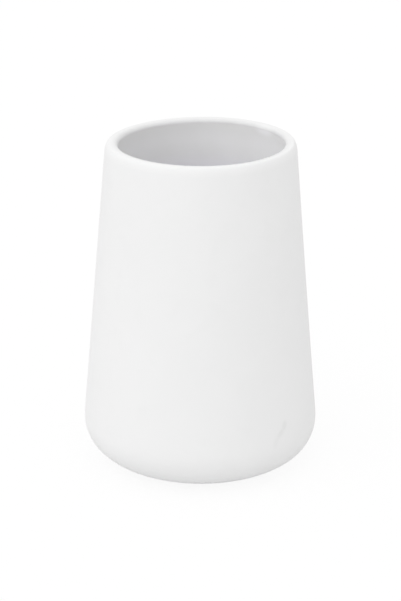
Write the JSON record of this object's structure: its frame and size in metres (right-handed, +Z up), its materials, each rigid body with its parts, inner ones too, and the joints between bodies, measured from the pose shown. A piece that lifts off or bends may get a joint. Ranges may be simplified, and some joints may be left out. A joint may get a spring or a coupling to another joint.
{
  "type": "toothbrush holder",
  "caption": "Open free-standing tumbler that leans in towards a rounded mouth, with a full lower round, a matte soft-touch outside, a glazed inside and rubber pads under its foot.",
  "frame": {"origin": "on the counter, on the cup's axis: the middle of the plane that the undersides of the pads share", "axes": "+Z up along the cup's axis, out of its mouth; the cup is turned, so X and Y are chosen so that each pad lies half way between them"},
  "size_m": [0.0798, 0.0799, 0.112],
  "materials": {
    "glazed_porcelain": "gloss",
    "soft_touch_white": "matte",
    "clear_silicone": "satin"
  },
  "bodies": {
    "root": {"porcelain_body": "glazed_porcelain", "soft_touch_coat": "soft_touch_white", "foot_pad_1": "clear_silicone", "foot_pad_2": "clear_silicone", "foot_pad_3": "clear_silicone", "foot_pad_4": "clear_silicone"}
  },
  "joints": []
}
